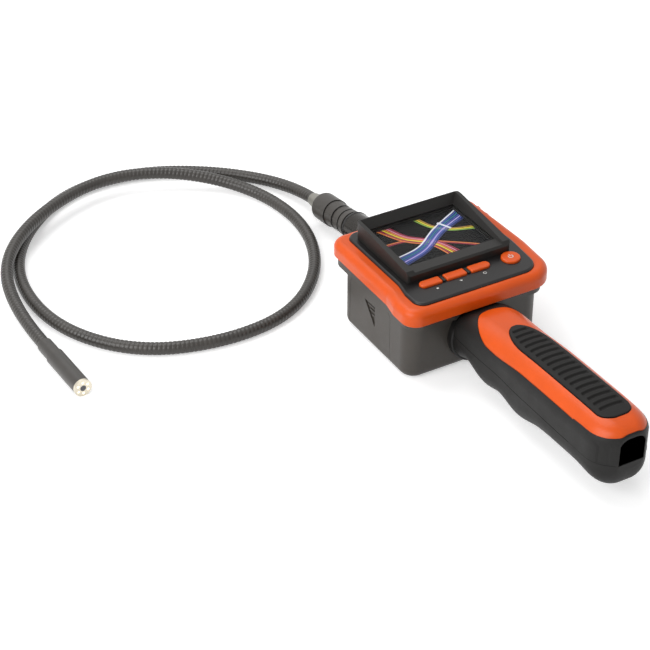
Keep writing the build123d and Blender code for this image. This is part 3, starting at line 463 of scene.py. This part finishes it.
def add_wire(middle, aside, width, colour, level):
    """One wire of a bundle, arched along its middle and cut off at the picture's edge."""
    last = len(middle) - 1
    spots = []
    for k, spot in enumerate(middle):
        way = middle[min(k + 1, last)] - middle[max(k - 1, 0)]
        across = Vector((-way.y, way.x, 0)).normalized()
        fan = 1 + WIRE_FAN * (2 * k / last - 1) ** 2
        spots.append((spot + across * aside * fan, across * (width / 2)))
    inside = [abs(s.x) < SCREEN_HALF[0] and abs(s.y) < SCREEN_HALF[1] for s, _ in spots]
    kept = [spots[k] for k in range(len(spots)) if any(inside[max(k - 1, 0):k + 2])]
    first = len(picture_verts)
    for spot, half in kept:
        for edge in (-1, 0, 1):
            picture_verts.append(on_screen(spot + half * edge, level + (WIRE_ARCH if edge == 0 else 0.0)))
    for k in range(len(kept) - 1):
        for edge in (0, 1):
            corner = first + 3 * k + edge
            picture_faces.append((corner, corner + 1, corner + 4, corner + 3))
            picture_looks.append(wire_names.index(colour))


level = 0.03
for pitch, colours, *points in BUNDLES:
    middle = through(points, WIRE_STEPS)
    for row, colour in enumerate(colours):
        add_wire(middle, (row - (len(colours) - 1) / 2) * pitch, pitch * WIRE_FILL, colour, level)
    level += BUNDLE_LIFT
picture = piece("screen_picture", picture_verts, picture_faces, wire_looks, "case", picture_looks)

# ---------------------------------------------------------------- small details
def block(name, low, high, round_by, material, body="case"):
    """A small moulded bar with rounded edges."""
    mesh = bmesh.new()
    bmesh.ops.create_cube(mesh, size=1.0)
    for vert in mesh.verts:
        for axis in range(3):
            vert.co[axis] = low[axis] if vert.co[axis] < 0 else high[axis]
    bmesh.ops.bevel(mesh, geom=mesh.edges[:], offset=round_by, segments=4, profile=0.5, affect="EDGES")
    verts = [v.co.copy() for v in mesh.verts]
    faces = [[v.index for v in f.verts] for f in mesh.faces]
    mesh.free()
    return piece(name, verts, faces, [material], body)


def mark(name, loops, level, material, body="case"):
    """A thin printed mark: closed outlines with a little thickness, lying flat."""
    verts = []
    faces = []
    for loop in loops:
        first = len(verts)
        count = len(loop)
        verts += [(x * MM, y * MM, level) for x, y in loop]
        verts += [(x * MM, y * MM, level + MARK_THICK) for x, y in loop]
        faces.append(tuple(first + count + k for k in range(count)))
        for k in range(count):
            n = (k + 1) % count
            faces.append((first + k, first + n, first + count + n, first + count + k))
    return piece(name, verts, faces, [material], body)


def ring_loops(x, y, inner, outer, start, end, steps=20):
    """An arc-shaped band as short four-cornered loops, angles in degrees."""
    loops = []
    for k in range(steps):
        a, b = [math.radians(start + (end - start) * (k + e) / steps) for e in (0, 1)]
        loops.append([(x + r * math.cos(t), y + r * math.sin(t)) for r, t in (
            (inner, a), (outer, a), (outer, b), (inner, b),
        )])
    return loops


MARK_THICK = 0.03 * MM
panel_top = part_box("front_panel")[1][2]
KEY_MARK_Y = -26.8
mark("key_marks", [
    [
        (-19.9, KEY_MARK_Y - 0.5), (-18.7, KEY_MARK_Y - 0.5),
        (-18.7, KEY_MARK_Y + 0.5), (-19.9, KEY_MARK_Y + 0.5),
    ],
    [(-5.4, KEY_MARK_Y - 0.8), (-4.6, KEY_MARK_Y + 0.6), (-6.2, KEY_MARK_Y + 0.6)],
    *ring_loops(8.4, KEY_MARK_Y, 0.65, 0.95, 0, 360),
], panel_top, mark_pale)
power_low, power_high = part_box("power_button")
power_x = (power_low[0] + power_high[0]) / 2 / MM
power_y = (power_low[1] + power_high[1]) / 2 / MM
mark("power_mark", [
    *ring_loops(power_x, power_y, 0.95, 1.45, 130, 410),
    [(power_x - 0.25, power_y + 0.3), (power_x + 0.25, power_y + 0.3), (power_x + 0.25, power_y + 1.9),
     (power_x - 0.25, power_y + 1.9)],
], power_high[2], mark_pale, "power_button")

# dark bars between the keys
for number, (left, right) in enumerate((("key_left", "key_middle"), ("key_middle", "key_right"))):
    middle = (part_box(left)[1][0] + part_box(right)[0][0]) / 2
    low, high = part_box(left)
    block(
        f"key_bar_{number}", (middle - 0.85 * MM, low[1] + 1.0 * MM, panel_top - 0.3 * MM),
        (middle + 0.85 * MM, high[1] - 1.0 * MM, panel_top + 0.9 * MM), 0.3 * MM, hood_grey,
    )

# ridges in the door's thumb recess
door_low, door_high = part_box("battery_door")
door_mid_y = (door_low[1] + door_high[1]) / 2
for number, drop in enumerate((1.6, 3.8, 6.0)):
    top = door_high[2] - 5.0 * MM - drop * MM
    reach = (10.0 - drop * 10 / 12) * MM
    block(
        f"door_ridge_{number}", (door_low[0] + 0.25 * MM, door_mid_y - 4.4 * MM, top - 0.5 * MM),
        (door_low[0] + 1.0 * MM, door_mid_y - 5.0 * MM + reach - 1.4 * MM, top + 0.5 * MM), 0.22 * MM,
        shell_grey, "battery_door",
    )

# handle seam: a fine dark line where the two shells meet
SEAM_Z = 23.5 * MM
SEAM_HALF = 0.16 * MM
SEAM_PROUD = 0.03 * MM
shells = [
    BVHTree.FromObject(frame["nodes"][n], bpy.context.evaluated_depsgraph_get())
    for n in ("handle_upper_shell", "handle_lower_shell")
]
handle_low, handle_high = [Vector(c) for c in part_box("handle_lower_shell")]
SEAM_NOSE = 16 * MM
SEAM_INSET = 0.5 * MM
SEAM_REACH = 60 * MM
SEAM_STEPS = 60
seam_spine = handle_low.y + SEAM_NOSE


def seam_side(k, way):
    """A ray from the handle's spine out to one side, for step k from the collar to the far end."""
    back = (handle_high.y - seam_spine) * k / SEAM_STEPS
    return (Vector((0, handle_high.y - SEAM_INSET - back, 0)), Vector((way, 0, 0)))


seam_rays = [seam_side(k, -1) for k in range(SEAM_STEPS)]
for k in range(SEAM_STEPS + 1):
    turn = math.pi * k / SEAM_STEPS
    seam_rays.append((Vector((0, seam_spine, 0)), Vector((-math.cos(turn), -math.sin(turn), 0))))
seam_rays.extend(seam_side(k, 1) for k in range(SEAM_STEPS - 1, -1, -1))
seam_rows = []
for spine, way in seam_rays:
    row = []
    for rise, tree_hit in ((SEAM_HALF, shells[0]), (-SEAM_HALF, shells[1])):
        start = Vector((spine.x, spine.y, SEAM_Z + rise)) + way * SEAM_REACH
        hit = tree_hit.ray_cast(start, -way)[0]
        if hit:
            row.append(hit + way * SEAM_PROUD)
    if len(row) == 2:
        seam_rows.append(row)
piece("handle_seam", [v for row in seam_rows for v in row], grid_faces(len(seam_rows), 2), [seam_dark])

# the shell's smooth skin round the handle's far end, up to the trim
END_SPINE_Y = -145 * MM
SKIN_LOW = 23.6
SKIN_PROUD = 0.14 * MM
SKIN_EDGE = [
    (-32, 37.2), (-13, 37.5), (16, 37.6), (42, 38.0), (68, 38.8), (90, 39.2),
    (112, 38.8), (138, 38.0), (164, 37.6), (193, 37.5), (212, 37.2),
]
SKIN_ROWS = 24
outer_trees = [
    BVHTree.FromObject(frame["nodes"][n], bpy.context.evaluated_depsgraph_get())
    for n in ("handle_upper_shell", "handle_trim")
]


def skin_edge(turn):
    for (a, low), (b, high) in zip(SKIN_EDGE, SKIN_EDGE[1:]):
        if turn <= b:
            return low + (high - low) * (turn - a) / (b - a)
    return SKIN_EDGE[-1][1]


skin_verts = []
skin_columns = 0
for turn in range(SKIN_EDGE[0][0], SKIN_EDGE[-1][0] + 1, 2):
    way = Vector((-math.cos(math.radians(turn)), -math.sin(math.radians(turn)), 0))
    column = []
    for row in range(SKIN_ROWS):
        height = SKIN_LOW + (skin_edge(turn) - SKIN_LOW) * row / (SKIN_ROWS - 1)
        start = Vector((0, END_SPINE_Y, height * MM)) + way * 60 * MM
        hits = [h for h in (t.ray_cast(start, -way) for t in outer_trees) if h[0]]
        if hits:
            spot, normal = min(hits, key=lambda h: h[3])[:2]
            spot += normal * SKIN_PROUD
            spot.y = max(spot.y, cad_box[0][1])
            column.append(spot)
    if len(column) == SKIN_ROWS:
        skin_verts += column
        skin_columns += 1
skin = piece("handle_end_skin", skin_verts, grid_faces(skin_columns, SKIN_ROWS), [handle_black])

# rings and grooves turned on the connector
plug_origin = Vector((0, 32.75 * MM, 23.0 * MM))
plug_way = Vector((0, math.cos(math.radians(8.5)), -math.sin(math.radians(8.5))))


def ring(name, start, radius, width, proud, material, body="case"):
    """A rounded ring round the connector, at a distance from the rear wall."""
    profile = []
    for k in range(9):
        turn = math.pi * k / 8
        profile.append((
            (start + width / 2 - width / 2 * math.cos(turn)) * MM, (radius + proud * math.sin(turn)) * MM
        ))
    return lathe(name, profile, plug_origin, plug_way, material, body)


turned = [
    ring(f"nut_ring_{number}", place, 8.26, 1.3, 0.22, nut_black, "coupling_nut")
    for number, place in enumerate((31.0, 33.2, 35.4, 37.6, 39.8))
]
turned.append(ring("nut_edge_ring", 52.0, 8.26, 1.4, 0.35, panel_black, "coupling_nut"))
for number, place in enumerate((60.0, 66.5)):
    turned.append(ring(f"plug_groove_{number}", place, 7.42, 0.9, 0.06, seam_dark))
turned.append(ring("boot_line", 74.6, 7.94, 0.7, 0.08, seam_dark))

# ---------------------------------------------------------------- floor, light and background
WORLD_LIGHT = 0.42
FLOOR_LIFT = 0.42
floor_mesh = bpy.data.meshes.new("floor")
floor_mesh.from_pydata([(-4, -4, 0), (4, -4, 0), (4, 4, 0), (-4, 4, 0)], [], [(0, 1, 2, 3)])
floor = bpy.data.objects.new("floor", floor_mesh)
bpy.context.collection.objects.link(floor)


def seen(tree):
    """1 for what the camera sees straight, in a reflection or through the clear window."""
    path = tree.nodes.new("ShaderNodeLightPath")
    found = path.outputs["Is Camera Ray"]
    for ray in ("Is Glossy Ray", "Is Transmission Ray"):
        either = tree.nodes.new("ShaderNodeMath")
        either.operation = "MAXIMUM"
        tree.links.new(found, either.inputs[0])
        tree.links.new(path.outputs[ray], either.inputs[1])
        found = either.outputs[0]
    return found


def between(tree, value, low, high):
    """A strength that goes from low to high with a value."""
    level = tree.nodes.new("ShaderNodeMapRange")
    level.inputs["To Min"].default_value = low
    level.inputs["To Max"].default_value = high
    tree.links.new(value, level.inputs["Value"])
    return level.outputs["Result"]


floor_look = bpy.data.materials.new("floor")
tree, shader = nodes_of(floor_look)
shader.inputs["Base Color"].default_value = (0.85, 0.85, 0.85, 1)
shader.inputs["Roughness"].default_value = 0.95
shader.inputs["Specular IOR Level"].default_value = 0.0
shader.inputs["Emission Color"].default_value = (1, 1, 1, 1)
tree.links.new(between(tree, seen(tree), 0.0, FLOOR_LIFT), shader.inputs["Emission Strength"])
floor_mesh.materials.append(floor_look)

world = bpy.data.worlds.new("world")
world.use_nodes = True
bpy.context.scene.world = world
ground = world.node_tree.nodes["Background"]
ground.inputs["Color"].default_value = (1, 1, 1, 1)
world_strength = between(world.node_tree, seen(world.node_tree), WORLD_LIGHT, 1.0)
world.node_tree.links.new(world_strength, ground.inputs["Strength"])


def softbox(name, place, aim, size, power):
    light = bpy.data.lights.new(name, "AREA")
    light.shape = "RECTANGLE"
    light.size, light.size_y = size
    light.energy = power
    obj = bpy.data.objects.new(name, light)
    obj.location = place
    obj.rotation_euler = (Vector(place) - Vector(aim)).to_track_quat("Z", "Y").to_euler()
    bpy.context.collection.objects.link(obj)


softbox("light_left", (-1.2, -0.25, 0.8), (0, 0, 0), (1.2, 1.0), 15)
softbox("light_top", (-0.1, 0.6, 1.4), (0, 0, 0), (1.2, 1.0), 11)
bpy.context.scene.view_settings.view_transform = "Standard"
